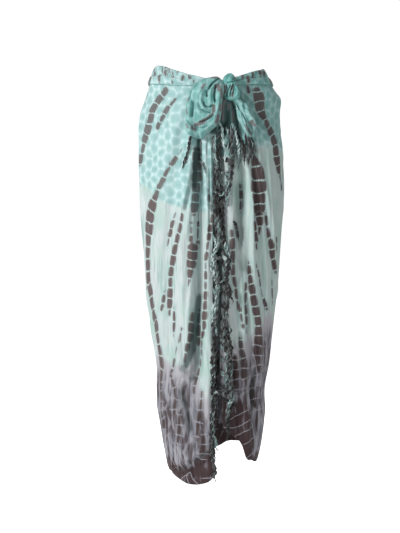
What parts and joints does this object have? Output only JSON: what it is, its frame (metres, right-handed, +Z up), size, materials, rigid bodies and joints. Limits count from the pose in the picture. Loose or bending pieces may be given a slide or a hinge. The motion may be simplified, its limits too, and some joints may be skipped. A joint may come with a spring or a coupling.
{
  "type": "sarong",
  "caption": "Worn sarong: one tie-dyed rayon cloth wound round the hips, upper corners tied in a half bow at the front, fringed ends hanging side by side.",
  "frame": {"origin": "middle of the waist, where the wearer's hips hold the cloth, 38 mm below the top of the rolled edge", "axes": "+Z up along the wearer's body, -Y towards the front where the fringed ends hang, +X to the right of someone who looks at the front"},
  "size_m": [0.3683, 0.2845, 1.0544],
  "materials": {
    "rayon": "soft thin woven rayon, tie-dyed from teal through pale mint and grey to dark brown",
    "rayon_teal": "soft thin woven rayon, dyed teal with pale crackle lines and brown spots",
    "yarn": "twisted rayon yarn, brown and grey with teal"
  },
  "bodies": {
    "root": {"left_panel": "rayon", "right_panel": "rayon", "back_panel": "rayon", "waist_roll": "rayon_teal", "knot": "rayon_teal", "bow_loop": "rayon_teal", "right_tail": "rayon_teal", "middle_tail": "rayon_teal", "left_fringe": "yarn", "right_fringe": "yarn", "right_tail_fringe": "yarn", "middle_tail_fringe": "yarn"}
  },
  "joints": []
}
